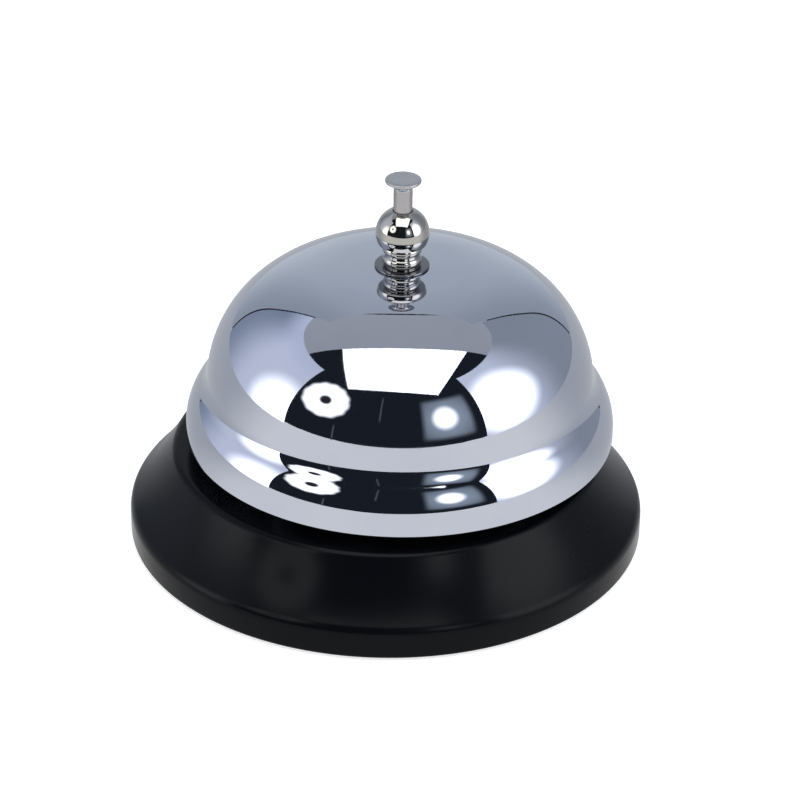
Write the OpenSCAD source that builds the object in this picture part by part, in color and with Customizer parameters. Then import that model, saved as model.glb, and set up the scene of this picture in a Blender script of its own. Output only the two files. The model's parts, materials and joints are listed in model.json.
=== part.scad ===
// Desk service bell: a chromed gong on a black flared base, rung by a plunger.
// The plunger turns a forked rocker, which swings a hammer outwards against
// the inside of the gong. Millimetres, +Z up, origin at the centre of the
// face that the bell stands on. The gong and its mechanism are drawn round the
// Z axis, and stand on the base a little way along +X, by bell_shift.

/* [Base] */
// Widest radius of the base
base_r = 42.5; // [41:0.5:44]
// Wall of the base shell
base_wall = 0.8; // [0.6:0.1:1]
// Height of the shell's lower edge above the surface
base_lift = 0.5; // [0.3:0.1:0.8]
// Height where the upright side turns into the shoulder
base_side_top = 4.3; // [3.8:0.1:4.8]
// Radius of the rounded shoulder
base_shoulder_r = 2.6; // [2:0.1:3.2]
// Radius of the hollow flare above the shoulder
base_flare_r = 44; // [40:1:50]
// Radius of the fold round the base top
base_fold_r = 1.5; // [1.2:0.1:1.8]
// Distance from the centre of the base to the axis of the gong
bell_shift = 2.1; // [0:0.1:2.4]

/* [Gong] */
// Height of the top of the gong
gong_top = 48.5; // [48.2:0.1:48.8]
// Wall of the gong
gong_wall = 0.9; // [0.7:0.1:1.1]
// Radius of the nearly flat cap
cap_r = 184.3; // [182:0.1:186]
// Radius of the turn between the cap and the shoulder
crown_r = 27; // [26.5:0.1:27.5]
// Radius of the shoulder below the crown
gong_shoulder_r = 20.2; // [19.8:0.1:20.4]
// Radius of the hollow between waist and flare
waist_r = 5.8; // [5.4:0.1:6.2]
// Radius of the flare's turn down into the upright lip
lip_turn_r = 9.5; // [9.2:0.1:9.8]
// Height of the gong's lower edge
rim_z = 18.4; // [18:0.1:19]

/* [Finial] */
// Radius of the ball
ball_r = 4.35; // [4.1:0.05:4.5]
// Outer radius of the two beads below the ball
bead_r = 3.2; // [3:0.1:3.4]
// Radius of the thin washer under the finial
finial_washer_r = 4.45; // [4.2:0.05:4.8]

/* [Plunger] */
// Radius of the plunger rod
rod_r = 1.55; // [1.5:0.01:1.58]
// Radius of the rod below the rocker
tail_rod_r = 1; // [0.8:0.05:1]
// Radius of the button
button_r = 2.92; // [2.6:0.02:3.2]
// Height of the button's crown
button_top = 64; // [63.9:0.1:64.6]
// Travel of the plunger
travel = 3.5; // [2.5:0.1:3.5]

/* [Spring] */
// Wire diameter of the return spring
wire_d = 0.5; // [0.4:0.05:0.5]
// Turns of the return spring
spring_turns = 7; // [5:1:8]

/* [Rocker and hammer] */
// Distance from the rod to the rocker's pivot
pivot_x = 8; // [8:0.1:8.2]
// Height of the rocker's pivot
pivot_z = 40.6; // [40.5:0.1:40.7]
// Radius of the pivot pin
pivot_r = 1; // [0.9:0.05:1]
// Radius of the hammer head
head_r = 3; // [2.6:0.1:3]
// Free swing of the hammer, in degrees
flick = 5; // [3:0.5:5]

/* [Hidden] */
$fn = 128;

// Radial gap of a fixed fit, and of a shaft that turns or slides
fit = 0.02;
run = 0.05;
// Gap between two faces that slide past or meet each other
play = 0.1;
// Room that a cut has beyond the solid it cuts
over = 1;
// How far a true arc may bulge beyond the short straight stretches that draw it
chord_error = 0.004;

function dir(a) = [cos(a), sin(a)];

// Base outline. Each angle is how far the surface's normal points above level.
base_flare_low = 43;
base_flare_high = 29;
base_edge_r = 0.6;
base_shoulder_c = [base_r - base_shoulder_r, base_side_top];
base_flare_c = base_shoulder_c + (base_shoulder_r + base_flare_r) * dir(base_flare_low);
base_fold_c = base_flare_c - (base_flare_r + base_fold_r) * dir(base_flare_high);
base_top = base_fold_c.y + base_fold_r;

// Closing plate and foot
plate_z = 1.3;
plate_t = 1;
foot_inner_r = 31;
foot_outer_r = 39;

// Gong outline, from the cap down to the lip, with the same angles
cap_end = 87;
crown_end = 60.8;
waist_lean = 6;
flare_lean = 40;
cap_c = [0, gong_top - cap_r];
crown_c = cap_c + (cap_r - crown_r) * dir(cap_end);
gong_shoulder_c = crown_c + (crown_r - gong_shoulder_r) * dir(crown_end);
waist_c = gong_shoulder_c + (gong_shoulder_r + waist_r) * dir(waist_lean);
lip_c = waist_c - (waist_r + lip_turn_r) * dir(flare_lean);
gong_hole_r = 2.5;

// Pillar: threaded tail, flange, body, and a threaded spigot for the finial
tail_r = 4;
tail_z = 9.5;
flange_r = 7;
flange_t = 1.4;
body_r = 4.6;
spigot_r = 2.3;
spigot_top = 55;
spring_bore_r = 3.1;
guide_r = 1.62;
bracket_t = 1.2;
cap_fall = 0.12;
washer_top = gong_top - gong_wall - cap_fall;
washer_r = 6;
washer_t = 1.77;
body_top = washer_top - washer_t - bracket_t;
ledge_t = 1;
ledge_z = body_top - ledge_t;
window_half = 2.9;
window_gap = 0.4;
nut_flats = 12;
nut_t = 3.3;
pillar_washer_t = 0.8;
pillar_washer_r = 7.5;

// Finial
ball_z = 54.45;
bead_tube_r = 0.95;
neck_r = 2.8;
finial_washer_sink = 0.01;
finial_washer_z = gong_top - finial_washer_sink;
finial_washer_t = 0.33;
finial_z = finial_washer_z + finial_washer_t + fit;
bead_z = finial_z + bead_tube_r;
finial_cut_z = finial_z + 4 * bead_tube_r;

// Plunger: the rod's rounded shoulder presses on the rocker's two prongs
prong_half = 0.6;
prong_inner = 1.2;
prong_outer = 2.6;
prong_reach = 1.2;
press_gap = 0.12;
full_turn = travel / pivot_x * 180 / PI;
window_x = 1.7;
window_z = [
    pivot_z - (pivot_x - window_x) * tan(full_turn) - prong_half / cos(full_turn) - window_gap,
    pivot_z + prong_half + window_gap
];
shoulder_z = pivot_z + prong_half + press_gap + sqrt(rod_r * rod_r - prong_inner * prong_inner);
ball_top = ball_z + sqrt(ball_r * ball_r - guide_r * guide_r);
button_gap = 0.16;
rod_top = ball_top + travel + button_gap;
rod_spigot_h = 1.15;
rod_spigot_top = rod_top + rod_spigot_h;
tail_rod_z = 26.3;
groove = 0.25;
clip_t = 0.7;
stop_clip_z = ledge_z - clip_t - play;
stop_clip_r = 2.8;
spring_clip_drop = 2.6;
spring_clip_z = pivot_z - spring_clip_drop;
spring_clip_r = 2.6;
seat_z = 27.5;
seat_t = 1;
spring_mean_r = 2.3;

// Rocker, with its hinge for the hammer at hinge
pivot = [pivot_x, pivot_z];
hinge = pivot + [5, -3];
hub_r = 2;
hub_half = 4.6;
bush_r = 1.5;
ear_inner = 4.9;
ear_t = 1;
ear_r = 2.6;
pin_clip_y = ear_inner + ear_t + play;
pin_clip_t = 0.5;
pin_clip_r = 1.9;
pin_head_r = 1.8;
pin_end = pin_clip_y + 2 * pin_clip_t;
hinge_r = 0.8;
hammer_clip_y = prong_outer + play;
hammer_clip_t = 0.4;
hammer_clip_r = 1.5;
hammer_pin_head_r = 1.3;
hammer_pin_end = hammer_clip_y + 2 * hammer_clip_t;
stop_reach = 3.6;
stop_r = 0.7;

// Hammer: a strip with one bend, and a head whose axis points axis_a at rest
axis_a = -15;
nose = [19, 20];
head_back = 3.5;
strip_t = 1;
strip_half = 1;
eye_r = 1.6;
arm_seat = nose - (head_back + strip_t / 2) * dir(axis_a);
pad_r = 2.2;
bend_above_seat = 8;
bend = arm_seat + bend_above_seat * dir(axis_a + 90);
arm_tip = arm_seat + pad_r * dir(axis_a - 90);
shank_r = 1;
shank_tail = 2;
shank_root = 0.5;
hammer_nut_r = 2.1;
hammer_nut_t = 1.6;

// Points of an arc round c after its first one, close enough together for chord_error.
// With a negative radius the points lie on the opposite side of c, for a hollow curve.
function arc(c, r, a0, a1) =
    let (n = ceil(abs(a1 - a0) * PI / 180 / sqrt(8 * chord_error / abs(r))))
    [for (i = [1:n]) c + r * dir(a0 + (a1 - a0) * i / n)];

function reversed(list) = [for (i = [len(list) - 1:-1:0]) list[i]];

// Moves what is drawn round the Z axis to its place on the base
module on_bell_axis() {
    translate([bell_shift, 0, 0]) children();
}

// A straight bar of width w from p to q, with round ends
module bar(p, q, w) {
    side = (w / 2) * [p.y - q.y, q.x - p.x] / norm(q - p);
    polygon([p + side, q + side, q - side, p - side]);
    translate(p) circle(w / 2);
    translate(q) circle(w / 2);
}

// Turns an outline drawn in X and Z into a plate between y0 and y1
module plate(y0, y1) {
    translate([0, y1, 0]) rotate([90, 0, 0]) linear_extrude(y1 - y0) children();
}

// A ring round the Z axis
module ring(inner, outer, z, t) {
    translate([0, 0, z]) difference() {
        cylinder(r = outer, h = t);
        translate([0, 0, -over]) cylinder(r = inner, h = t + 2 * over);
    }
}

// A retaining clip round the Z axis, open towards -X
module clip(inner, outer, t) {
    difference() {
        ring(inner, outer, 0, t);
        translate([-outer - over, -0.75 * inner, -over]) cube([outer + over, 1.5 * inner, t + 2 * over]);
    }
}

// A pin along Y at point p, with a head at the low end and a clip groove at the high end
module cross_pin(p, r, y0, y1, head_r, head_t, groove_y, groove_t) {
    translate([p.x, y0, p.y]) rotate([-90, 0, 0]) {
        cylinder(r = head_r, h = head_t);
        difference() {
            cylinder(r = r, h = y1 - y0);
            ring(r - groove, r + over, groove_y - y0, groove_t);
        }
    }
}

// The base's upper side moved inwards by d, from the middle to the upright side
function base_path(d) = concat(
    [[0, base_top - d], [base_fold_c.x, base_top - d]],
    arc(base_fold_c, base_fold_r - d, 90, base_flare_high),
    arc(base_flare_c, -base_flare_r - d, base_flare_high, base_flare_low),
    arc(base_shoulder_c, base_shoulder_r - d, base_flare_low, 0)
);

// The gong's upper side moved inwards by d, from its hole to its lower edge
function gong_path(d) =
    let (start = acos(gong_hole_r / (cap_r - d)))
    concat(
        [cap_c + (cap_r - d) * dir(start)],
        arc(cap_c, cap_r - d, start, cap_end),
        arc(crown_c, crown_r - d, cap_end, crown_end),
        arc(gong_shoulder_c, gong_shoulder_r - d, crown_end, waist_lean),
        arc(waist_c, -waist_r - d, waist_lean, flare_lean),
        arc(lip_c, lip_turn_r - d, flare_lean, 0),
        [[lip_c.x + lip_turn_r - d, rim_z]]
    );

module base_shell() {
    edge_c = [base_r - base_edge_r, base_lift + base_edge_r];
    color("#101114") difference() {
        rotate_extrude() polygon(concat(
            base_path(0),
            [[base_r, edge_c.y]],
            arc(edge_c, base_edge_r, 0, -90),
            [[base_r - base_wall, base_lift]],
            reversed(base_path(base_wall))
        ));
        on_bell_axis() cylinder(r = tail_r + fit, h = base_top + over);
    }
}

module bottom_plate() {
    dish_r = 26;
    dish = 0.5;
    color("#3a3c40") rotate_extrude() polygon([
        [0, plate_z + dish], [dish_r, plate_z + dish], [dish_r + dish, plate_z],
        [base_r - base_wall - fit, plate_z], [base_r - base_wall - fit, plate_z + plate_t],
        [dish_r, plate_z + plate_t], [dish_r - dish, plate_z + plate_t + dish],
        [0, plate_z + plate_t + dish]
    ]);
}

module foot_ring() {
    bevel = 0.3;
    color("#1b1b1c") rotate_extrude() polygon([
        [foot_inner_r, plate_z], [foot_inner_r, bevel], [foot_inner_r + bevel, 0],
        [foot_outer_r - bevel, 0], [foot_outer_r, bevel], [foot_outer_r, plate_z]
    ]);
}

module pillar() {
    color("#c9b36a") difference() {
        union() {
            translate([0, 0, tail_z]) cylinder(r = tail_r, h = body_top - tail_z);
            translate([0, 0, base_top]) cylinder(r = flange_r, h = flange_t);
            translate([0, 0, base_top]) cylinder(r = body_r, h = body_top - base_top);
            translate([0, 0, base_top]) cylinder(r = spigot_r, h = spigot_top - base_top);
        }
        translate([0, 0, tail_z - over]) cylinder(r = spring_bore_r, h = ledge_z - tail_z + over);
        cylinder(r = guide_r, h = spigot_top + over);
        translate([0, -window_half, window_z[0]])
            cube([body_r + over, 2 * window_half, window_z[1] - window_z[0]]);
    }
}

module pillar_washer() {
    color("#b8bac0") ring(
        tail_r + run, pillar_washer_r, base_top - base_wall - pillar_washer_t, pillar_washer_t
    );
}

module pillar_nut() {
    z = base_top - base_wall - pillar_washer_t - nut_t;
    color("#b8bac0") translate([0, 0, z]) difference() {
        cylinder(r = nut_flats / 2 / cos(30), h = nut_t, $fn = 6);
        translate([0, 0, -over]) cylinder(r = tail_r + fit, h = nut_t + 2 * over);
    }
}

module spring_seat() {
    color("#c9b36a") ring(tail_rod_r + run, spring_bore_r - fit, seat_z, seat_t);
}

module pivot_bracket() {
    outer = ear_inner + ear_t;
    color("#9fa3aa") difference() {
        union() {
            translate([0, 0, body_top]) cylinder(r = outer, h = bracket_t);
            translate([0, -outer, body_top]) cube([pivot_x + ear_r, 2 * outer, bracket_t]);
            for (y = [-outer, ear_inner]) plate(y, y + ear_t) {
                translate(pivot) circle(ear_r);
                translate([pivot_x - ear_r, pivot_z]) square([2 * ear_r, body_top - pivot_z + bracket_t]);
            }
        }
        translate([0, 0, body_top - over]) cylinder(r = spigot_r + fit, h = bracket_t + 2 * over);
        translate([pivot_x, 0, pivot_z]) rotate([90, 0, 0])
            cylinder(r = pivot_r + fit, h = 2 * outer + 2 * over, center = true);
    }
}

module pivot_pin() {
    head_t = 0.8;
    low = -ear_inner - ear_t - head_t - run;
    color("#d0d2d6")
        cross_pin(pivot, pivot_r, low, pin_end, pin_head_r, head_t, pin_clip_y, pin_clip_t);
}

module pivot_pin_clip() {
    color("#6f737a") translate([pivot_x, pin_clip_y, pivot_z]) rotate([-90, 0, 0])
        clip(pivot_r - groove + fit, pin_clip_r, pin_clip_t);
}

module gong_washer() {
    color("#7a3b22") ring(spigot_r + fit, washer_r, washer_top - washer_t, washer_t);
}

module gong() {
    color("#d4d8e0") rotate_extrude() polygon(concat(gong_path(0), reversed(gong_path(gong_wall))));
}

module finial_washer() {
    color("#2b2c30") ring(spigot_r + fit, finial_washer_r, finial_washer_z, finial_washer_t);
}

module finial_nut() {
    color("#d9d6cf") rotate_extrude() difference() {
        union() {
            intersection() {
                translate([0, ball_z]) circle(ball_r);
                translate([0, finial_cut_z]) square(4 * ball_r);
            }
            translate([0, finial_z]) square([neck_r, finial_cut_z - finial_z]);
            for (i = [0, 1])
                translate([bead_r - bead_tube_r, bead_z + 2 * bead_tube_r * i]) circle(bead_tube_r);
        }
        translate([-ball_r, 0]) square([ball_r + guide_r, ball_z + ball_r + over]);
        translate([0, 0]) square([spigot_r + fit, spigot_top + run]);
    }
}

module plunger_rod() {
    color("#cfd0d2") difference() {
        union() {
            translate([0, 0, tail_rod_z]) cylinder(r = tail_rod_r, h = shoulder_z - tail_rod_z);
            translate([0, 0, shoulder_z]) sphere(r = rod_r);
            translate([0, 0, shoulder_z]) cylinder(r = rod_r, h = rod_top - shoulder_z);
            translate([0, 0, rod_top]) cylinder(r = tail_rod_r, h = rod_spigot_top - rod_top);
        }
        ring(rod_r - groove, rod_r + over, stop_clip_z, clip_t);
        ring(tail_rod_r - groove, tail_rod_r + over, spring_clip_z, clip_t);
    }
}

module plunger_button() {
    flare_r = 1.6;
    edge_t = 0.5;
    crown = 0.1;
    crown_bevel = 0.6;
    stem_wall = 0.55;
    under = button_top - crown - edge_t;
    color("#aeb1b5") rotate_extrude() difference() {
        polygon([
            [0, rod_top], [rod_r, rod_top], [rod_r + flare_r, rod_top], [button_r, under],
            [button_r, under + edge_t], [button_r - crown_bevel, button_top], [0, button_top]
        ]);
        translate([rod_r + flare_r, rod_top]) circle(flare_r);
        translate([rod_r + stem_wall, rod_top - over]) square([flare_r, under - rod_top + over]);
        translate([0, 0]) square([tail_rod_r + fit, rod_spigot_top + fit]);
    }
}

module stop_clip() {
    color("#6f737a") translate([0, 0, stop_clip_z]) clip(rod_r - groove + fit, stop_clip_r, clip_t);
}

module spring_clip() {
    color("#6f737a") translate([0, 0, spring_clip_z]) clip(tail_rod_r - groove + fit, spring_clip_r, clip_t);
}

// Points of the coil: rings of sides points round the wire, steps rings a turn
module plunger_spring() {
    sides = 8;
    steps = 16;
    low = seat_z + seat_t + wire_d / 2 + run;
    rise = spring_clip_z - wire_d / 2 - run - low;
    rings = spring_turns * steps;
    points = [
        for (i = [0:rings]) for (j = [0:sides - 1])
            let (turn = 360 * i / steps, r = spring_mean_r + wire_d / 2 * cos(360 * j / sides))
            [r * cos(turn), r * sin(turn), low + rise * i / rings + wire_d / 2 * sin(360 * j / sides)]
    ];
    walls = [
        for (i = [0:rings - 1]) for (j = [0:sides - 1])
            let (k = (j + 1) % sides)
            [i * sides + j, (i + 1) * sides + j, (i + 1) * sides + k, i * sides + k]
    ];
    first = [for (j = [0:sides - 1]) j];
    last = [for (j = [sides - 1:-1:0]) rings * sides + j];
    color("#a8acb3") polyhedron(points, concat([first], walls, [last]));
}

module rocker() {
    along = (bend - hinge) / norm(bend - hinge);
    across = [-along.y, along.x];
    stop = hinge + stop_reach * along;
    tip = [prong_half - prong_reach, pivot_z];
    inner_stop = stop - (strip_t / 2 + stop_r + run) * across;
    outer_stop = stop + (strip_t / 2 + stop_r + run + stop_reach * tan(flick)) * across;
    color("#8d9299") difference() {
        union() {
            for (y = [-prong_outer, prong_inner]) plate(y, y + prong_outer - prong_inner) {
                bar(tip, pivot, 2 * prong_half);
                bar(pivot, hinge, 2 * eye_r);
                bar(hinge, stop, 2 * eye_r);
            }
            translate([pivot_x, 0, pivot_z]) rotate([90, 0, 0])
                cylinder(r = hub_r, h = 2 * hub_half, center = true);
            for (p = [inner_stop, outer_stop]) translate([p.x, 0, p.y]) rotate([90, 0, 0])
                cylinder(r = stop_r, h = 2 * prong_outer, center = true);
        }
        translate([pivot_x, 0, pivot_z]) rotate([90, 0, 0])
            cylinder(r = bush_r + fit, h = 2 * hub_half + 2 * over, center = true);
        translate([hinge.x, 0, hinge.y]) rotate([90, 0, 0])
            cylinder(r = hinge_r + fit, h = 2 * prong_outer + 2 * over, center = true);
    }
}

module rocker_bush() {
    color("#c9a24a") translate([pivot_x, 0, pivot_z]) rotate([90, 0, 0]) difference() {
        cylinder(r = bush_r, h = 2 * hub_half + 2 * play, center = true);
        cylinder(r = pivot_r + run, h = 2 * hub_half + 2 * over, center = true);
    }
}

module hammer_pin() {
    head_t = 0.6;
    low = -prong_outer - head_t - run;
    color("#d0d2d6") cross_pin(
        hinge, hinge_r, low, hammer_pin_end, hammer_pin_head_r, head_t, hammer_clip_y, hammer_clip_t
    );
}

module hammer_pin_clip() {
    color("#6f737a") translate([hinge.x, hammer_clip_y, hinge.y]) rotate([-90, 0, 0])
        clip(hinge_r - groove + fit, hammer_clip_r, hammer_clip_t);
}

// Places a child whose +Z runs along the head's axis, from the middle of the strip
module on_head_axis() {
    translate([arm_seat.x, 0, arm_seat.y]) rotate([0, 90 - axis_a, 0]) children();
}

module hammer_arm() {
    color("#7f848c") difference() {
        union() {
            plate(-strip_half, strip_half) {
                translate(hinge) circle(eye_r);
                bar(hinge, bend, strip_t);
                bar(bend, arm_tip, strip_t);
            }
            on_head_axis() translate([0, 0, -strip_t / 2]) cylinder(r = pad_r, h = strip_t);
        }
        translate([hinge.x, 0, hinge.y]) rotate([90, 0, 0])
            cylinder(r = hinge_r + run, h = 2 * strip_half + 2 * over, center = true);
        on_head_axis() cylinder(r = shank_r + fit, h = 2 * strip_t + 2 * over, center = true);
    }
}

module hammer_head() {
    grip_z = strip_t / 2 + 1.2;
    grip_depth = 0.3;
    grip_t = 0.6;
    color("#c9a24a") on_head_axis() {
        difference() {
            union() {
                translate([0, 0, strip_t / 2]) cylinder(r = head_r, h = head_back);
                translate([0, 0, strip_t / 2 + head_back]) sphere(r = head_r);
            }
            ring(head_r - grip_depth, head_r + over, grip_z, grip_t);
            translate([0, 0, strip_t / 2 - 2 * head_r]) cylinder(r = 2 * head_r, h = 2 * head_r);
        }
        translate([0, 0, -strip_t / 2 - shank_tail])
            cylinder(r = shank_r, h = shank_tail + strip_t + shank_root);
    }
}

module hammer_nut() {
    color("#b8bac0") on_head_axis() translate([0, 0, -strip_t / 2 - hammer_nut_t]) difference() {
        cylinder(r = hammer_nut_r, h = hammer_nut_t, $fn = 6);
        translate([0, 0, -over]) cylinder(r = shank_r + fit, h = hammer_nut_t + 2 * over);
    }
}

base_shell();
bottom_plate();
foot_ring();
on_bell_axis() pillar();
on_bell_axis() pillar_washer();
on_bell_axis() pillar_nut();
on_bell_axis() spring_seat();
on_bell_axis() pivot_bracket();
on_bell_axis() pivot_pin();
on_bell_axis() pivot_pin_clip();
on_bell_axis() gong_washer();
on_bell_axis() gong();
on_bell_axis() finial_washer();
on_bell_axis() finial_nut();
on_bell_axis() plunger_rod();
on_bell_axis() plunger_button();
on_bell_axis() stop_clip();
on_bell_axis() spring_clip();
on_bell_axis() plunger_spring();
on_bell_axis() rocker();
on_bell_axis() rocker_bush();
on_bell_axis() hammer_pin();
on_bell_axis() hammer_pin_clip();
on_bell_axis() hammer_arm();
on_bell_axis() hammer_head();
on_bell_axis() hammer_nut();
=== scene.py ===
import json
import math

import bmesh
import bpy
from mathutils import Matrix, Vector

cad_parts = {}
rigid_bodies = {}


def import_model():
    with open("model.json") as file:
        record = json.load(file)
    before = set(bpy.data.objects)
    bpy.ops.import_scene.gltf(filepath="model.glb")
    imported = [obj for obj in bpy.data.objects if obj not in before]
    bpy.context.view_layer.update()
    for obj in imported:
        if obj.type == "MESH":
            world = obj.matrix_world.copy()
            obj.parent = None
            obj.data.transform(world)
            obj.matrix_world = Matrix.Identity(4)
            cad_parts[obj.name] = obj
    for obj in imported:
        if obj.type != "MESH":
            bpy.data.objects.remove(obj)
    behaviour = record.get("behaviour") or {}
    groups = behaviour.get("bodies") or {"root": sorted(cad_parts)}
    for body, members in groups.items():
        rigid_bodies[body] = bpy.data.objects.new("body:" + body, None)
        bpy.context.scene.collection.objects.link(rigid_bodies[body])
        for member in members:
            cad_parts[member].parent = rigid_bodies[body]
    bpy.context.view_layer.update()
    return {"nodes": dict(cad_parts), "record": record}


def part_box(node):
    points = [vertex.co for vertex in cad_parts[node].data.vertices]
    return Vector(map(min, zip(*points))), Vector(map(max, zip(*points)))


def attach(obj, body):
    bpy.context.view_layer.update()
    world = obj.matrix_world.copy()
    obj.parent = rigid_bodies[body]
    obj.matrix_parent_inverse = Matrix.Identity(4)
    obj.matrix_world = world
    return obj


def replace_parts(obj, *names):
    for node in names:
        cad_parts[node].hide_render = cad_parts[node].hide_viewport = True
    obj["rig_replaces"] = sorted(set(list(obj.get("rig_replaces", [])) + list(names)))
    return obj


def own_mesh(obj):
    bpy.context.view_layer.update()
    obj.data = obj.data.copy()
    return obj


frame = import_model()

MM = 0.001

# ---------------------------------------------------------------- camera
GONG_LOW, GONG_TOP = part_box("gong")
AXIS_X = (GONG_LOW.x + GONG_TOP.x) / 2
FOCUS = Vector((AXIS_X, 0, 25 * MM))
VIEW_ELEVATION = math.radians(29.24)
VIEW_ROLL = math.radians(0.88)
VIEW_DISTANCE = 0.6
LENS_MM = 164.27
SENSOR_MM = 36
# How far the focus lies from the middle of the frame, as a share of its width
FOCUS_RIGHT = 0.06 / 800
FOCUS_UP = 7.53 / 800


def make_camera():
    back = Vector((0, -math.cos(VIEW_ELEVATION), math.sin(VIEW_ELEVATION)))
    level_right = Vector((1, 0, 0))
    level_up = back.cross(level_right)
    right = math.cos(VIEW_ROLL) * level_right + math.sin(VIEW_ROLL) * level_up
    up = back.cross(right)
    width = VIEW_DISTANCE * SENSOR_MM / LENS_MM
    place = FOCUS + VIEW_DISTANCE * back - width * (FOCUS_RIGHT * right + FOCUS_UP * up)
    data = bpy.data.cameras.new("camera")
    data.lens = LENS_MM
    data.sensor_width = SENSOR_MM
    data.clip_start = 0.01
    data.clip_end = 20
    camera = bpy.data.objects.new("camera", data)
    turn = Matrix((right, up, back)).transposed().to_4x4()
    camera.matrix_world = Matrix.Translation(place) @ turn
    bpy.context.scene.collection.objects.link(camera)
    bpy.context.scene.camera = camera


make_camera()
bpy.context.scene.view_settings.view_transform = "Standard"


# ---------------------------------------------------------------- node helpers
class Nodes:
    """A node tree with short calls for the nodes that the materials share."""

    def __init__(self, tree):
        self.tree = tree
        tree.nodes.clear()

    def add(self, kind, inputs=None, **settings):
        node = self.tree.nodes.new(kind)
        for name, value in settings.items():
            setattr(node, name, value)
        for name, value in (inputs or {}).items():
            self.set(node.inputs[name], value)
        return node

    def set(self, socket, value):
        if isinstance(value, bpy.types.NodeSocket):
            self.tree.links.new(value, socket)
        else:
            socket.default_value = value

    def math(self, operation, a, b=0.0, clamp=False):
        return self.add("ShaderNodeMath", {0: a, 1: b}, operation=operation, use_clamp=clamp).outputs[0]

    def ramp(self, value, low, high, out_low=0.0, out_high=1.0):
        inputs = {"Value": value, "From Min": low, "From Max": high}
        inputs.update({"To Min": out_low, "To Max": out_high})
        node = self.add("ShaderNodeMapRange", inputs, interpolation_type="SMOOTHSTEP")
        return node.outputs["Result"]

    def mix(self, factor, a, b):
        node = self.add("ShaderNodeMix", data_type="RGBA")
        self.set(node.inputs["Factor"], factor)
        self.set(node.inputs[6], a)
        self.set(node.inputs[7], b)
        return node.outputs[2]

    def noise(self, vector, scale, detail=2.0, rough=0.5):
        inputs = {"Vector": vector, "Scale": scale, "Detail": detail, "Roughness": rough}
        return self.add("ShaderNodeTexNoise", inputs).outputs["Fac"]

    def place(self):
        return self.add("ShaderNodeTexCoord").outputs["Object"]

    def round_axis(self, centre, along):
        """Coordinates that hardly change round a vertical axis, for turned or spun marks."""
        middle = self.add(
            "ShaderNodeVectorMath", {0: self.place(), 1: centre}, operation="SUBTRACT"
        ).outputs[0]
        parts = self.add("ShaderNodeSeparateXYZ", {0: middle}).outputs
        flat = self.add("ShaderNodeCombineXYZ", {"X": parts["X"], "Y": parts["Y"]}).outputs[0]
        way = self.add("ShaderNodeVectorMath", {0: flat}, operation="NORMALIZE").outputs[0]
        ways = self.add("ShaderNodeSeparateXYZ", {0: way}).outputs
        radius = self.add("ShaderNodeVectorMath", {0: flat}, operation="LENGTH").outputs["Value"]
        outward = self.math("MULTIPLY", radius, along)
        depth = self.math("ADD", outward, self.math("MULTIPLY", parts["Z"], -along))
        return self.add("ShaderNodeCombineXYZ", {"X": ways["X"], "Y": ways["Y"], "Z": depth}).outputs[0]


def new_material(name):
    material = bpy.data.materials.new(name)
    material.use_nodes = True
    return material, Nodes(material.node_tree)


def finish_material(nodes, colour, roughness, metallic, bump=None, **fixed):
    """Ends a material in one Principled shader. bump is (height, distance, strength)."""
    inputs = {"Base Color": colour, "Roughness": roughness, "Metallic": metallic}
    if bump:
        height, distance, strength = bump
        inputs["Normal"] = nodes.add(
            "ShaderNodeBump", {"Height": height, "Distance": distance, "Strength": strength}
        ).outputs[0]
    shader = nodes.add("ShaderNodeBsdfPrincipled", inputs)
    for socket, value in fixed.items():
        shader.inputs[socket.replace("_", " ")].default_value = value
    nodes.add("ShaderNodeOutputMaterial", {"Surface": shader.outputs[0]})


AXIS = (AXIS_X, 0, 0)


def plated(name, colour, tint, rough, marks, haze, turned=5000.0):
    """Bright plating: faint marks round the axis from buffing, and a thin uneven haze."""
    material, n = new_material(name)
    place = n.place()
    cloud = n.noise(place, 55.0, 4.0, 0.6)
    grain = n.noise(n.round_axis(AXIS, turned), 1.0, 3.0, 0.6)
    fine = n.noise(place, 2600.0, 2.0)
    smear = n.ramp(cloud, 0.45, 0.75, 0.0, haze)
    lines = n.ramp(grain, 0.5, 0.8, 0.0, marks)
    roughness = n.math("ADD", n.math("ADD", smear, lines), rough)
    shade = n.mix(n.ramp(cloud, 0.35, 0.7), (*colour, 1), (*tint, 1))
    height = n.math("ADD", n.math("MULTIPLY", grain, 0.7), n.math("MULTIPLY", fine, 0.3))
    finish_material(n, shade, roughness, 1.0, (height, 0.001 * MM, 0.6))
    return material


def steel(name, colour, tint, rough):
    """Zinc-plated or bare steel: mottled colour, and a fine brushed grain along X."""
    material, n = new_material(name)
    place = n.place()
    stretched = n.add("ShaderNodeMapping", {"Vector": place, "Scale": (300, 4200, 4200)}).outputs[0]
    grain = n.noise(stretched, 1.0, 3.0, 0.6)
    mottle = n.noise(place, 420.0, 5.0, 0.65)
    shade = n.mix(n.ramp(mottle, 0.35, 0.68), (*colour, 1), (*tint, 1))
    roughness = n.math("ADD", n.math("MULTIPLY", grain, 0.16), rough)
    finish_material(n, shade, roughness, 1.0, (grain, 0.004 * MM, 0.5))
    return material


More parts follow.
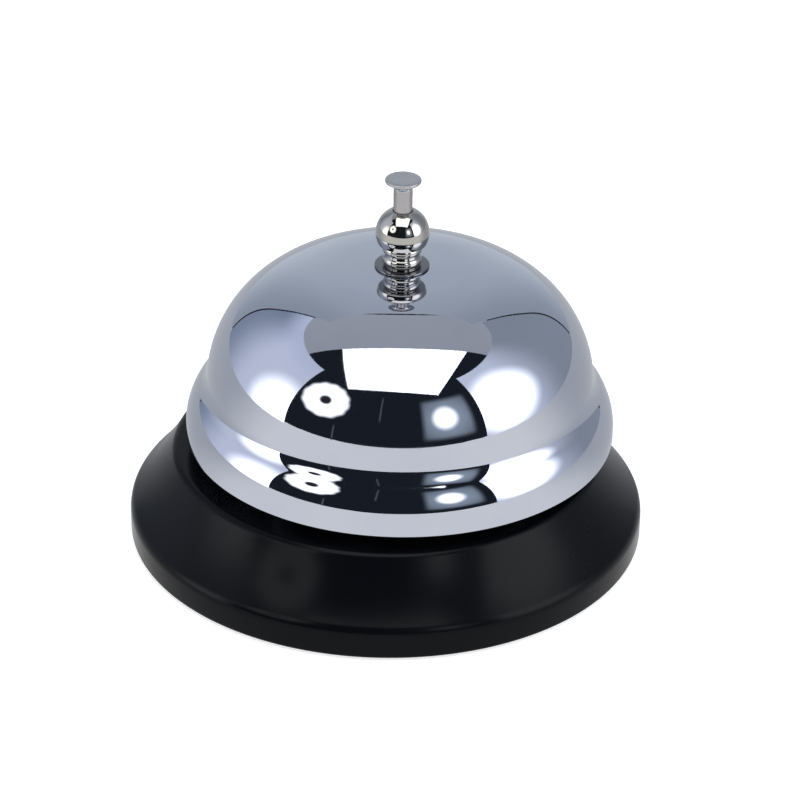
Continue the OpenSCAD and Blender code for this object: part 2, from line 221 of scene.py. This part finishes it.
def enamel():
    """Black stove enamel: a soft ripple from the spray, settled dust, and polish marks."""
    material, n = new_material("black_enamel")
    place = n.place()
    ripple = n.noise(place, 620.0, 2.0, 0.5)
    cloud = n.noise(place, 45.0, 5.0, 0.6)
    specks = n.add("ShaderNodeTexVoronoi", {"Vector": place, "Scale": 700.0}).outputs["Distance"]
    dust = n.math("MULTIPLY", n.ramp(specks, 0.10, 0.04), n.ramp(cloud, 0.5, 0.7))
    shade = n.mix(n.math("MULTIPLY", dust, 0.10), (0.0026, 0.0031, 0.0046, 1), (0.20, 0.20, 0.21, 1))
    roughness = n.math("ADD", n.ramp(cloud, 0.4, 0.75, 0.0, 0.06), 0.19)
    finish_material(
        n, shade, roughness, 0.0, (ripple, 0.006 * MM, 0.35),
        Specular_IOR_Level=0.085,
    )
    return material


def brass(name):
    """Turned brass with fine tool lines and a slight tarnish."""
    material, n = new_material(name)
    place = n.place()
    lines = n.noise(n.round_axis(AXIS, 9000.0), 1.0, 3.0, 0.6)
    tarnish = n.noise(place, 260.0, 5.0, 0.62)
    shade = n.mix(n.ramp(tarnish, 0.4, 0.72), (0.74, 0.53, 0.22, 1), (0.46, 0.31, 0.13, 1))
    roughness = n.math("ADD", n.math("MULTIPLY", tarnish, 0.22), 0.14)
    finish_material(n, shade, roughness, 1.0, (lines, 0.004 * MM, 0.5))
    return material


def rubber():
    """Moulded rubber: fine pitted grain, dusty in places."""
    material, n = new_material("foot_rubber")
    place = n.place()
    grain = n.noise(place, 1900.0, 4.0, 0.7)
    dust = n.noise(place, 120.0, 5.0, 0.7)
    shade = n.mix(n.ramp(dust, 0.5, 0.75), (0.016, 0.016, 0.017, 1), (0.06, 0.058, 0.055, 1))
    roughness = n.math("ADD", n.math("MULTIPLY", dust, 0.25), 0.6)
    finish_material(n, shade, roughness, 0.0, (grain, 0.03 * MM, 0.6))
    return material


def fibre():
    """Pressed red fibre board: short speckled fibres."""
    material, n = new_material("red_fibre")
    place = n.place()
    stretched = n.add("ShaderNodeMapping", {"Vector": place, "Scale": (900, 3200, 2400)}).outputs[0]
    strands = n.noise(stretched, 1.0, 5.0, 0.7)
    shade = n.mix(n.ramp(strands, 0.35, 0.7), (0.20, 0.035, 0.018, 1), (0.42, 0.12, 0.06, 1))
    finish_material(n, shade, n.ramp(strands, 0.3, 0.7, 0.55, 0.8), 0.0, (strands, 0.02 * MM, 0.5))
    return material


MATERIALS = {
    "mirror_chrome": plated(
        "mirror_chrome", (0.53, 0.557, 0.632), (0.50, 0.53, 0.61), 0.018, 0.02, 0.05
    ),
    "nickel_plate": plated(
        "nickel_plate", (0.47, 0.455, 0.43), (0.42, 0.405, 0.38), 0.03, 0.03, 0.06
    ),
    "black_washer": plated(
        "black_washer", (0.20, 0.205, 0.22), (0.15, 0.155, 0.17), 0.07, 0.05, 0.08
    ),
    "satin_nickel": plated(
        "satin_nickel", (0.52, 0.52, 0.53), (0.44, 0.44, 0.46), 0.24, 0.08, 0.08
    ),
    "pin_steel": plated(
        "pin_steel", (0.43, 0.415, 0.425), (0.37, 0.36, 0.37), 0.20, 0.10, 0.08, 7000.0
    ),
    "black_enamel": enamel(),
    "zinc_steel": steel("zinc_steel", (0.56, 0.57, 0.59), (0.43, 0.45, 0.49), 0.24),
    "clip_steel": steel("clip_steel", (0.17, 0.18, 0.20), (0.10, 0.11, 0.13), 0.30),
    "spring_wire": steel("spring_wire", (0.50, 0.51, 0.53), (0.38, 0.39, 0.42), 0.22),
    "turned_brass": brass("turned_brass"),
    "foot_rubber": rubber(),
    "red_fibre": fibre(),
}


# ---------------------------------------------------------------- outlines
def way(angle):
    return Vector((math.cos(math.radians(angle)), math.sin(math.radians(angle))))


def arc(centre, radius, start, end, step=1.5):
    """Points round centre. A negative radius gives the opposite side, for a hollow curve."""
    count = max(2, math.ceil(abs(end - start) / step))
    return [centre + radius * way(start + (end - start) * i / count) for i in range(count + 1)]


def rounded(points, corners, count=5):
    """The outline with a small radius at some of its corners: corners maps index to radius."""
    done = []
    for i, point in enumerate(points):
        if i not in corners:
            done.append(point)
            continue
        before = (points[i - 1] - point).normalized()
        after = (points[(i + 1) % len(points)] - point).normalized()
        half = before.angle(after) / 2
        reach = corners[i] / math.tan(half)
        centre = point + (before + after).normalized() * corners[i] / math.sin(half)
        first = point + before * reach - centre
        last = point + after * reach - centre
        for k in range(count + 1):
            part = first.slerp(last, k / count)
            done.append(centre + part.normalized() * corners[i])
    return done


def lathe(name, points, slot, body, nodes, axis_x=AXIS_X, sides=192, hole=None):
    """A closed outline of (radius, height) in millimetres, turned round a vertical axis.

    hole is the (radius, sideways shift) of a hole that is off the axis: the points at
    radius 0 go to its edge instead.
    """
    mesh = bpy.data.meshes.new(name)
    bm = bmesh.new()
    rings = []
    for point in points:
        ring = []
        radius, shift = point.x, 0.0
        if hole and point.x < 1e-6:
            radius, shift = hole
        for j in range(sides):
            turn = 2 * math.pi * j / sides
            x = axis_x / MM + shift + radius * math.cos(turn)
            ring.append(Vector((x, radius * math.sin(turn), point.y)) * MM)
        on_axis = radius < 1e-6
        rings.append([bm.verts.new(ring[0])] * sides if on_axis else [bm.verts.new(p) for p in ring])
    for i, ring in enumerate(rings):
        after = rings[(i + 1) % len(rings)]
        for j in range(sides):
            k = (j + 1) % sides
            corners = []
            for vert in (ring[j], ring[k], after[k], after[j]):
                if vert not in corners:
                    corners.append(vert)
            if len(corners) > 2:
                bm.faces.new(corners)
    bmesh.ops.recalc_face_normals(bm, faces=bm.faces)
    bm.to_mesh(mesh)
    bm.free()
    mesh.shade_smooth()
    mesh.set_sharp_from_angle(angle=math.radians(32))
    piece = bpy.data.objects.new(name, mesh)
    bpy.context.scene.collection.objects.link(piece)
    mesh.materials.append(MATERIALS[slot])
    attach(piece, body)
    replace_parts(piece, *nodes)
    return piece


def height(node, end):
    """Lowest (end 0) or highest (end 1) point of a CAD node, in millimetres."""
    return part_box(node)[end].z / MM


# ---------------------------------------------------------------- gong
def gong_outline():
    top = height("gong", 1)
    rim = height("gong", 0)
    wall, cap_r, crown_r, shoulder_r, waist_r, lip_r = 0.9, 184.3, 27.0, 20.2, 5.8, 9.5
    cap_end, crown_end, waist_lean, flare_lean = 87.0, 60.8, 6.0, 40.0
    hole_r = 2.5
    # The box stops at the hole's edge, a little below the pole of the cap
    cap_c = Vector((0, top - math.sqrt(cap_r**2 - hole_r**2)))
    crown_c = cap_c + (cap_r - crown_r) * way(cap_end)
    shoulder_c = crown_c + (crown_r - shoulder_r) * way(crown_end)
    waist_c = shoulder_c + (shoulder_r + waist_r) * way(waist_lean)
    lip_c = waist_c - (waist_r + lip_r) * way(flare_lean)

    def side(d):
        start = math.degrees(math.acos(hole_r / (cap_r - d)))
        path = arc(cap_c, cap_r - d, start, cap_end, 0.2)
        path += arc(crown_c, crown_r - d, cap_end, crown_end, 0.6)[1:]
        path += arc(shoulder_c, shoulder_r - d, crown_end, waist_lean, 1.0)[1:]
        path += arc(waist_c, -waist_r - d, waist_lean, flare_lean, 1.0)[1:]
        path += arc(lip_c, lip_r - d, flare_lean, 0, 1.0)[1:]
        path.append(Vector((lip_c.x + lip_r - d, rim)))
        return path

    outer, inner = side(0), side(wall)
    points = outer + inner[::-1]
    corners = {0: 0.15, len(outer) - 1: 0.32, len(outer): 0.32, len(points) - 1: 0.15}
    return rounded(points, corners)


lathe("gong_shell", gong_outline(), "mirror_chrome", "frame", ["gong"], sides=256)


# ---------------------------------------------------------------- base
def base_outline():
    base_r = (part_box("base_shell")[1].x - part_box("base_shell")[0].x) / 2 / MM
    low = height("base_shell", 0)
    wall, side_top, shoulder_r, flare_r, fold_r, edge_r = 0.8, 4.3, 2.6, 44.0, 1.5, 0.6
    flare_low, flare_high = 43, 29
    shoulder_c = Vector((base_r - shoulder_r, side_top))
    flare_c = shoulder_c + (shoulder_r + flare_r) * way(flare_low)
    fold_c = flare_c - (flare_r + fold_r) * way(flare_high)
    top = fold_c.y + fold_r
    edge_c = Vector((base_r - edge_r, low + edge_r))

    def side(d):
        path = [Vector((0, top - d)), Vector((12, top - d)), Vector((24, top - d))]
        path += arc(fold_c, fold_r - d, 90, flare_high, 4.0)
        path += arc(flare_c, -flare_r - d, flare_high, flare_low, 0.5)[1:]
        path += arc(shoulder_c, shoulder_r - d, flare_low, 0, 2.0)[1:]
        return path

    outer = side(0) + arc(edge_c, edge_r, 0, -90, 6.0)
    return outer + [Vector((base_r - wall, low))] + side(wall)[::-1]


PILLAR_HOLE = (4.02, AXIS_X / MM)
lathe("base_cover", base_outline(), "black_enamel", "frame", ["base_shell"], 0.0, 256, PILLAR_HOLE)


def plate_outline():
    low = height("bottom_plate", 0)
    outer_r = (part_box("bottom_plate")[1].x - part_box("bottom_plate")[0].x) / 2 / MM
    thick, dish_r, dish = 1.0, 26.0, 0.5
    high = low + thick
    under = [(0, low + dish), (dish_r, low + dish), (dish_r + dish, low), (outer_r, low)]
    over = [(outer_r, high), (dish_r, high), (dish_r - dish, high + dish), (0, high + dish)]
    points = [Vector(p) for p in under + over]
    return rounded(points, {1: 0.6, 2: 0.6, 3: 0.25, 4: 0.25, 5: 0.6, 6: 0.6})


lathe("closing_plate", plate_outline(), "zinc_steel", "frame", ["bottom_plate"], 0.0, 160)


def foot_outline():
    low, top = height("foot_ring", 0), height("foot_ring", 1)
    outer = (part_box("foot_ring")[1].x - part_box("foot_ring")[0].x) / 2 / MM
    inner, bevel, groove = 31.0, 0.3, 0.35
    points = [(inner, top), (inner, low + bevel), (inner + bevel, low)]
    for r in (33, 35, 37):
        points += [(r - 0.45, low), (r - 0.25, low + groove), (r + 0.25, low + groove), (r + 0.45, low)]
    points += [(outer - bevel, low), (outer, low + bevel), (outer, top)]
    corners = {i: 0.12 for i in range(1, len(points) - 1)}
    return rounded([Vector(p) for p in points], corners, 3)


lathe("foot_pad", foot_outline(), "foot_rubber", "frame", ["foot_ring"], 0.0, 160)


# ---------------------------------------------------------------- finial
def finial_outline():
    low = height("finial_nut", 0)
    ball_r, tube, bead_r, neck, bore, thread = 4.35, 0.95, 3.2, 2.8, 1.62, 2.32
    ball_c = Vector((0, height("finial_nut", 1) - math.sqrt(ball_r**2 - bore**2)))
    socket = height("pillar", 1) + 0.05
    reach = math.degrees(math.acos((neck - bead_r + tube) / tube))
    cut = low + 4 * tube
    points = [Vector((thread, low)), Vector((neck, low))]
    for i in range(2):
        points += arc(Vector((bead_r - tube, low + tube * (1 + 2 * i))), tube, -reach, reach, 6.0)
    points.append(Vector((neck, cut)))
    edge = math.degrees(math.asin((cut - ball_c.y) / ball_r))
    ball_start = len(points)
    points += arc(ball_c, ball_r, edge, math.degrees(math.acos(bore / ball_r)), 2.0)
    ball_end = len(points) - 1
    points += [Vector((bore, socket)), Vector((thread, socket))]
    return rounded(points, {ball_start: 0.12, ball_end: 0.10})


lathe("finial", finial_outline(), "nickel_plate", "frame", ["finial_nut"], sides=160)


def ring_outline(node, inner, edge):
    low, top = height(node, 0), height(node, 1)
    outer = (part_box(node)[1].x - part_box(node)[0].x) / 2 / MM
    points = [Vector(p) for p in ((inner, low), (outer, low), (outer, top), (inner, top))]
    return rounded(points, {i: edge for i in range(4)})


WASHER = ring_outline("finial_washer", 2.32, 0.12)
lathe("cap_washer", WASHER, "black_washer", "frame", ["finial_washer"], sides=128)


# ---------------------------------------------------------------- plunger
def rod_outline():
    low, top = height("plunger_rod", 0), height("plunger_rod", 1)
    rod_r, tail_r, groove, clip = 1.55, 1.0, 0.25, 0.7
    stop, spring = height("stop_clip", 0), height("spring_clip", 0)
    neck = height("plunger_button", 0)
    # The rounded shoulder rests a little above the two prongs of the rocker
    bush_r, prong_half, prong_inner, gap = 1.5, 0.6, 1.2, 0.12
    prong_top = height("rocker_bush", 1) - bush_r + prong_half
    shoulder = prong_top + gap + math.sqrt(rod_r**2 - prong_inner**2)
    meet = -math.degrees(math.acos(tail_r / rod_r))
    inside = tail_r - groove
    points = [(0, low), (tail_r, low), (tail_r, spring), (inside, spring)]
    points += [(inside, spring + clip), (tail_r, spring + clip)]
    points = [Vector(p) for p in points] + arc(Vector((0, shoulder)), rod_r, meet, 0, 4.0)
    rest = [(rod_r, stop), (rod_r - groove, stop), (rod_r - groove, stop + clip), (rod_r, stop + clip)]
    rest += [(rod_r, neck), (tail_r, neck), (tail_r, top), (0, top)]
    return rounded(points + [Vector(p) for p in rest], {1: 0.2})


lathe("push_rod", rod_outline(), "pin_steel", "plunger", ["plunger_rod"], sides=96)


def button_outline():
    low, top = height("plunger_button", 0), height("plunger_button", 1)
    edge_r = (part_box("plunger_button")[1].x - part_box("plunger_button")[0].x) / 2 / MM
    rod_r, flare, crown, thick = 1.55, 1.6, 0.1, 0.5
    under = top - crown - thick
    bore, bore_top = 1.02, height("plunger_rod", 1) + 0.02
    turn = math.degrees(math.asin((under - low) / flare))
    trumpet = arc(Vector((rod_r + flare, low)), flare, 180, 180 - turn, 6.0)
    bevel = edge_r - 0.6
    head = ((edge_r, under), (edge_r, top - crown), (bevel, top), (0, top))
    points = trumpet + [Vector(p) for p in head]
    first = len(trumpet)
    points += [Vector(p) for p in ((0, bore_top), (bore, bore_top), (bore, low))]
    return rounded(points, {first: 0.14, first + 1: 0.14, first + 2: 0.3})


lathe("push_button", button_outline(), "satin_nickel", "plunger", ["plunger_button"], sides=96)


def make_spring():
    """The return spring: a round wire in an even helix, with both ends of the wire capped."""
    low, top = height("plunger_spring", 0), height("plunger_spring", 1)
    wire = 0.25
    low, top = low + wire, top - wire
    turns, steps, around, mean_r = 7, 40, 14, 2.3
    count = turns * steps
    rings = []
    bm = bmesh.new()
    for i in range(count + 1):
        turn = 2 * math.pi * i / steps
        rise = low + (top - low) * i / count
        ring = []
        for j in range(around):
            a = 2 * math.pi * j / around
            r = mean_r + wire * math.cos(a)
            x = AXIS_X / MM + r * math.cos(turn)
            ring.append(bm.verts.new(Vector((x, r * math.sin(turn), rise + wire * math.sin(a))) * MM))
        rings.append(ring)
    for ring, after in zip(rings, rings[1:]):
        for j in range(around):
            k = (j + 1) % around
            bm.faces.new((ring[j], ring[k], after[k], after[j]))
    bm.faces.new(rings[0])
    bm.faces.new(rings[-1])
    bmesh.ops.recalc_face_normals(bm, faces=bm.faces)
    mesh = bpy.data.meshes.new("return_spring")
    bm.to_mesh(mesh)
    bm.free()
    mesh.shade_smooth()
    mesh.set_sharp_from_angle(angle=math.radians(50))
    mesh.materials.append(MATERIALS["spring_wire"])
    piece = bpy.data.objects.new("return_spring", mesh)
    bpy.context.scene.collection.objects.link(piece)
    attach(piece, "plunger")
    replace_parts(piece, "plunger_spring")
    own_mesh(piece)


make_spring()


# ---------------------------------------------------------------- parts kept from the frame
def dress(node):
    """A CAD node keeps its shape, and gets its finish and slightly broken edges."""
    piece = frame["nodes"][node]
    slot = next(s["material_slot"] for s in frame["record"]["subparts"] if s["node"] == node)
    piece.data.materials.clear()
    piece.data.materials.append(MATERIALS[slot])
    weld = piece.modifiers.new("weld", "WELD")
    weld.merge_threshold = 1e-6
    bevel = piece.modifiers.new("edges", "BEVEL")
    bevel.width = 0.06 * MM
    bevel.segments = 2
    bevel.limit_method = "ANGLE"
    bevel.angle_limit = math.radians(40)
    bevel.use_clamp_overlap = True


replaced = {node for piece in bpy.data.objects for node in piece.get("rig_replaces", [])}
for node in frame["nodes"]:
    if node not in replaced:
        dress(node)


# ---------------------------------------------------------------- studio
STUDIO_R = 1.3
DARK = (0.016, 0.020, 0.027, 1)
STUDIO_C = Vector((AXIS_X, 0, 35 * MM))


def toward(azimuth, elevation):
    """Direction from the bell: azimuth 0 is the camera's side, 90 is +X."""
    a, e = math.radians(azimuth), math.radians(elevation)
    return Vector((math.sin(a) * math.cos(e), -math.cos(a) * math.cos(e), math.sin(e)))


def light_material(name, build):
    """An emission material. build(nodes, u, v) returns a colour from the sheet's coordinates."""
    material, n = new_material(name)
    sheet = n.add("ShaderNodeSeparateXYZ", {0: n.add("ShaderNodeTexCoord").outputs["UV"]}).outputs
    glow = n.add("ShaderNodeEmission", {"Color": build(n, sheet["X"], sheet["Y"])})
    n.add("ShaderNodeOutputMaterial", {"Surface": glow.outputs[0]})
    return material


def panel(name, azimuths, elevations, build, radius=STUDIO_R):
    """A curved studio panel between two azimuths and two elevations, seen only by reflection."""
    across, up = 24, 16
    bm = bmesh.new()
    uv = bm.loops.layers.uv.new("sheet")
    grid = {}
    for i in range(across + 1):
        for j in range(up + 1):
            az = azimuths[0] + (azimuths[1] - azimuths[0]) * i / across
            el = elevations[0] + (elevations[1] - elevations[0]) * j / up
            grid[i, j] = bm.verts.new(STUDIO_C + radius * toward(az, el))
    for i in range(across):
        for j in range(up):
            keys = ((i, j), (i + 1, j), (i + 1, j + 1), (i, j + 1))
            face = bm.faces.new([grid[key] for key in keys])
            for loop, key in zip(face.loops, keys):
                loop[uv].uv = (key[0] / across, key[1] / up)
    return stage_mesh(name, bm, light_material(name, build))


def stage_mesh(name, bm, material):
    mesh = bpy.data.meshes.new(name)
    bm.to_mesh(mesh)
    bm.free()
    mesh.materials.append(material)
    piece = bpy.data.objects.new(name, mesh)
    bpy.context.scene.collection.objects.link(piece)
    piece.visible_camera = False
    return piece


def spot(n, u, v, centre, size, soft):
    """1 inside an ellipse on the sheet, falling to 0 outside it."""
    x = n.math("DIVIDE", n.math("SUBTRACT", u, centre[0]), size[0])
    y = n.math("DIVIDE", n.math("SUBTRACT", v, centre[1]), size[1])
    far = n.math("SQRT", n.math("ADD", n.math("MULTIPLY", x, x), n.math("MULTIPLY", y, y)))
    return n.ramp(far, 1.0 + soft, 1.0 - soft)


def left_light(n, u, v):
    """Az -138 to -68, el -2 to 50: lavender above, with a bright lobe low on its right."""
    base = n.mix(n.ramp(u, 0.0, 0.5), (0.31, 0.37, 0.48, 1), (0.84, 0.88, 1.04, 1))
    lobe = spot(n, u, v, (0.90, 0.08), (0.26, 0.42), 0.5)
    low = n.mix(lobe, base, (3.0, 3.0, 3.0, 1))
    return n.mix(n.ramp(v, 0.75, 1.0), low, (0.75, 0.80, 0.98, 1))


def right_light(n, u, v):
    """Az 50 to 138, el 0 to 53: a bright core near its left, fading to blue-grey."""
    base = n.mix(n.ramp(u, 0.3, 0.75), (0.85, 0.9, 1.05, 1), (0.36, 0.40, 0.46, 1))
    core = spot(n, u, v, (0.20, 0.42), (0.25, 0.38), 0.38)
    return n.mix(core, base, (3.2, 3.2, 3.2, 1))


def umbrella(n, u, v):
    """A round reflector with ribs and a dark hub."""
    angle = n.math("ARCTAN2", n.math("SUBTRACT", v, 0.5), n.math("SUBTRACT", u, 0.5))
    scallop = n.math("MULTIPLY", n.math("COSINE", n.math("MULTIPLY", angle, 12.0)), 0.009)
    reach = n.math("ADD", scallop, 0.46)
    disc = spot(n, u, v, (0.5, 0.5), (reach, reach), 0.12)
    hub = spot(n, u, v, (0.5, 0.5), (0.12, 0.12), 0.25)
    lit = n.mix(disc, DARK, (2.4, 2.4, 2.4, 1))
    return n.mix(hub, lit, (0.03, 0.03, 0.035, 1))


def small_light(n, u, v):
    """Az 12 to 46, el 3 to 42: a bare lamp in front of a dim blue-grey wall."""
    halo = spot(n, u, v, (0.5, 0.5), (0.5, 0.5), 0.7)
    wall = n.mix(halo, (0.06, 0.07, 0.085, 1), (0.42, 0.49, 0.58, 1))
    lamp = spot(n, u, v, (0.46, 0.52), (0.19, 0.21), 0.5)
    lit = n.mix(lamp, wall, (3.2, 3.2, 3.2, 1))
    edges = n.math("MULTIPLY", fade(n, u, 0.14), fade(n, v, 0.14))
    return n.mix(edges, DARK, lit)


def fade(n, along, margin):
    """1 inside the sheet, falling to 0 at its two ends."""
    return n.math("MULTIPLY", n.ramp(along, 0.0, margin), n.ramp(along, 1.0, 1.0 - margin))


def light_stand(n, u, v):
    return n.mix(fade(n, v, 0.2), (0.02, 0.024, 0.03, 1), (0.11, 0.12, 0.14, 1))


def rear_wall(n, u, v):
    wall = n.mix(n.ramp(v, 0.0, 1.0), (0.68, 0.73, 0.78, 1), (0.50, 0.55, 0.61, 1))
    return n.mix(fade(n, u, 0.35), (0.42, 0.465, 0.53, 1), wall)


def ceiling_light(n, u, v):
    return n.mix(v, (0.47, 0.49, 0.53, 1), (0.50, 0.52, 0.56, 1))


panel("left_softbox", (-138, -68), (-2, 50), left_light)
panel("right_softbox", (50, 138), (-2, 53), right_light)
panel("umbrella", (-66, -32), (15, 45), umbrella, 1.25)
panel("small_lamp", (12, 46), (3, 42), small_light)
panel("light_stand", (-12.5, -11.5), (20, 45), light_stand)
panel("umbrella_stand", (-38.5, -37.5), (-1, 13), light_stand)
panel("rear_wall", (139, 221), (-2, 57), rear_wall)


def flat_panel(name, corners, build, high=1.2):
    """A flat panel overhead. corners are (x, y) for a height of one, round its edge."""
    bm = bmesh.new()
    uv = bm.loops.layers.uv.new("sheet")
    verts = [bm.verts.new(STUDIO_C + Vector((x * high, y * high, high))) for x, y in corners]
    face = bm.faces.new(verts)
    for loop, at in zip(face.loops, ((0, 0), (1, 0), (1, 1), (0, 1))):
        loop[uv].uv = at
    return stage_mesh(name, bm, light_material(name, build))


def card(n, u, v):
    return n.mix(u, (2.4, 2.4, 2.35, 1), (2.6, 2.6, 2.6, 1))


flat_panel("overhead_card", ((-0.64, -0.77), (0.49, -0.91), (0.50, 0.03), (-0.42, 0.03)), card)
flat_panel("ceiling", ((-3.0, 0.03), (3.0, 0.03), (3.0, 0.62), (-3.0, 0.62)), ceiling_light, 1.22)


def make_floor():
    material, n = new_material("floor")
    place = n.place()
    grain = n.noise(place, 300.0, 3.0)
    paint = n.mix(n.ramp(grain, 0.3, 0.7), (0.78, 0.78, 0.78, 1), (0.80, 0.80, 0.80, 1))
    lit = n.add("ShaderNodeBsdfDiffuse", {"Color": paint, "Roughness": 0.5})
    glow = n.add("ShaderNodeEmission", {"Color": (1, 1, 1, 1), "Strength": 0.62})
    both = n.add("ShaderNodeAddShader", {0: lit.outputs[0], 1: glow.outputs[0]})
    # In the metal the floor is white in front of the bell, and grey behind it
    offset = n.add("ShaderNodeVectorMath", {0: place, 1: AXIS}, operation="SUBTRACT").outputs[0]
    facing = n.add("ShaderNodeVectorMath", {0: offset}, operation="NORMALIZE").outputs[0]
    back = n.add("ShaderNodeSeparateXYZ", {0: facing}).outputs["Y"]
    shade = n.mix(n.ramp(back, -0.45, 0.40), (1.0, 1.0, 1.0, 1), (0.55, 0.57, 0.60, 1))
    mirrored = n.add("ShaderNodeEmission", {"Color": shade})
    seen = n.add("ShaderNodeLightPath").outputs["Is Camera Ray"]
    top = n.add("ShaderNodeMixShader", {0: seen, 1: mirrored.outputs[0], 2: both.outputs[0]})
    clear = n.add("ShaderNodeBsdfTransparent")
    under = n.add("ShaderNodeNewGeometry").outputs["Backfacing"]
    side = n.add("ShaderNodeMixShader", {0: under, 1: top.outputs[0], 2: clear.outputs[0]})
    n.add("ShaderNodeOutputMaterial", {"Surface": side.outputs[0]})
    bm = bmesh.new()
    bmesh.ops.create_grid(bm, x_segments=8, y_segments=8, size=3.0)
    piece = stage_mesh("floor", bm, material)
    piece.visible_camera = True


make_floor()


def make_world():
    world = bpy.data.worlds.new("studio")
    bpy.context.scene.world = world
    world.use_nodes = True
    n = Nodes(world.node_tree)
    seen = n.add("ShaderNodeLightPath").outputs["Is Camera Ray"]
    colour = n.mix(seen, DARK, (1, 1, 1, 1))
    sky = n.add("ShaderNodeBackground", {"Color": colour})
    n.add("ShaderNodeOutputWorld", {"Surface": sky.outputs[0]})


make_world()
